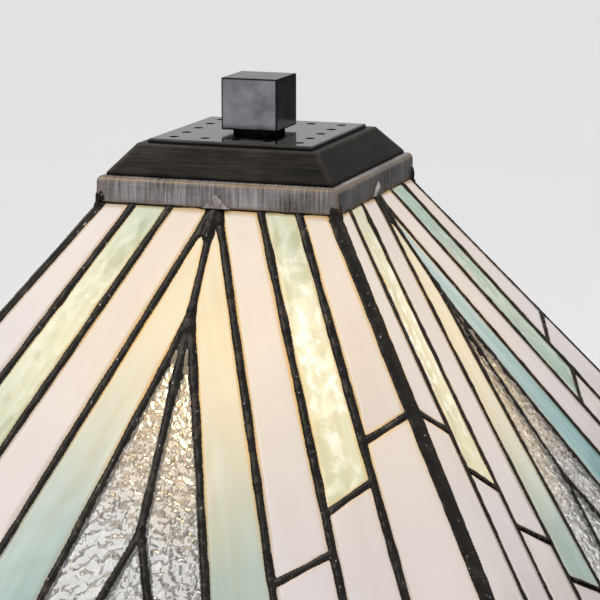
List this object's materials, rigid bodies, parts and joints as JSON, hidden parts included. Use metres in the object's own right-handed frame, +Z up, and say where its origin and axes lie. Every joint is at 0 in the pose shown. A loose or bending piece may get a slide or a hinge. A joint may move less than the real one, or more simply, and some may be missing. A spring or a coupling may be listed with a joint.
{
  "type": "stained glass table lamp",
  "caption": "Table lamp with a square, pyramid-shaped leaded glass shade, vented metal cap, square finial, twin sockets and a tapered column on a weighted base.",
  "frame": {"origin": "on the table, under the middle of the base", "axes": "+Z up along the lamp tube, -Y out of the front panel of the shade, +X to the right of it"},
  "size_m": [0.36, 0.36, 0.6008],
  "materials": {
    "white_glass": "milky opalescent sheet glass, cream to lavender white, satin gloss",
    "green_glass": "streaky mint and yellow-green opalescent sheet glass, rippled, glossy",
    "aqua_glass": "streaky opalescent sheet glass, warm cream to aqua, glossy",
    "clear_glass": "clear hammered sheet glass",
    "solder": "lead and solder lines with a glossy dark bronze patina",
    "rim": "brass channel with a dark bronze patina",
    "ring": "soldered brass band, vertically brushed, pewter and brown patina",
    "cap": "spun steel, near-black bronze, brushed",
    "finial": "gloss black over steel",
    "stand": "dark bronze, satin, cast texture",
    "tube": "zinc-plated steel lamp tube",
    "hardware": "turned brass, slightly tarnished",
    "iron": "rough cast iron",
    "cover": "black painted sheet steel, matte",
    "screw": "zinc-plated steel",
    "pad": "matte black rubber",
    "socket": "moulded black phenolic",
    "insulator": "white porcelain",
    "bulb_glass": "opal white glass",
    "bulb_cap": "bright rolled aluminium"
  },
  "bodies": {
    "root": {"back_arm": "stand", "back_bulb_cap": "bulb_cap", "back_bulb_glass": "bulb_glass", "back_socket_shell": "socket", "base_cover": "cover", "base_shell": "stand", "base_weight": "iron", "capital": "stand", "column": "stand", "column_foot": "stand", "cord_gland": "socket", "cover_screws": "screw", "front_arm": "stand", "front_bulb_cap": "bulb_cap", "front_bulb_glass": "bulb_glass", "front_socket_shell": "socket", "neck_collar": "stand", "riser_tube": "tube", "rubber_pads": "pad", "seat_nut": "hardware", "shade_seat": "hardware", "socket_contacts": "hardware", "socket_hub": "stand", "socket_insulators": "insulator", "socket_screw_shells": "hardware", "stem_nut": "hardware", "stem_tube": "tube"},
    "shade": {"back_aqua_glass": "aqua_glass", "back_clear_glass": "clear_glass", "back_green_glass": "green_glass", "back_lead": "solder", "back_white_glass": "white_glass", "bottom_rim": "rim", "corner_cames": "solder", "front_aqua_glass": "aqua_glass", "front_clear_glass": "clear_glass", "front_green_glass": "green_glass", "front_lead": "solder", "front_white_glass": "white_glass", "left_aqua_glass": "aqua_glass", "left_clear_glass": "clear_glass", "left_green_glass": "green_glass", "left_lead": "solder", "left_white_glass": "white_glass", "right_aqua_glass": "aqua_glass", "right_clear_glass": "clear_glass", "right_green_glass": "green_glass", "right_lead": "solder", "right_white_glass": "white_glass", "shade_spider": "hardware", "top_ring": "ring", "vent_cap": "cap", "vent_plate": "cap"},
    "finial_washer": {"finial_washer": "cap"},
    "finial": {"finial": "finial"},
    "front_switch": {"front_switch_spindle": "hardware", "front_switch_knob": "socket"},
    "back_switch": {"back_switch_spindle": "hardware", "back_switch_knob": "socket"}
  },
  "joints": [
    {"name": "shade_swivel", "type": "hinge", "parent": "root", "child": "shade", "pos_m": [0, 0, 0.55595], "axis": [0, 0, 1], "continuous": true},
    {"name": "finial_rise", "type": "slide", "parent": "shade", "child": "finial_washer", "axis": [0, 0, 1], "range_m": [0, 0.00963]},
    {"name": "finial_turn", "type": "hinge", "parent": "finial_washer", "child": "finial", "pos_m": [0, 0, 0.58], "axis": [0, 0, 1], "range_deg": [0, 3465]},
    {"name": "front_switch_turn", "type": "hinge", "parent": "root", "child": "front_switch", "pos_m": [0.0297, -0.0297, 0.4085], "axis": [0.7071, -0.7071, 0], "continuous": true},
    {"name": "back_switch_turn", "type": "hinge", "parent": "root", "child": "back_switch", "pos_m": [-0.0297, 0.0297, 0.4085], "axis": [-0.7071, 0.7071, 0], "continuous": true}
  ],
  "couplings": [
    {"joint": "finial_rise", "follows": "finial_turn", "m_per_rad": 0.00015915}
  ]
}
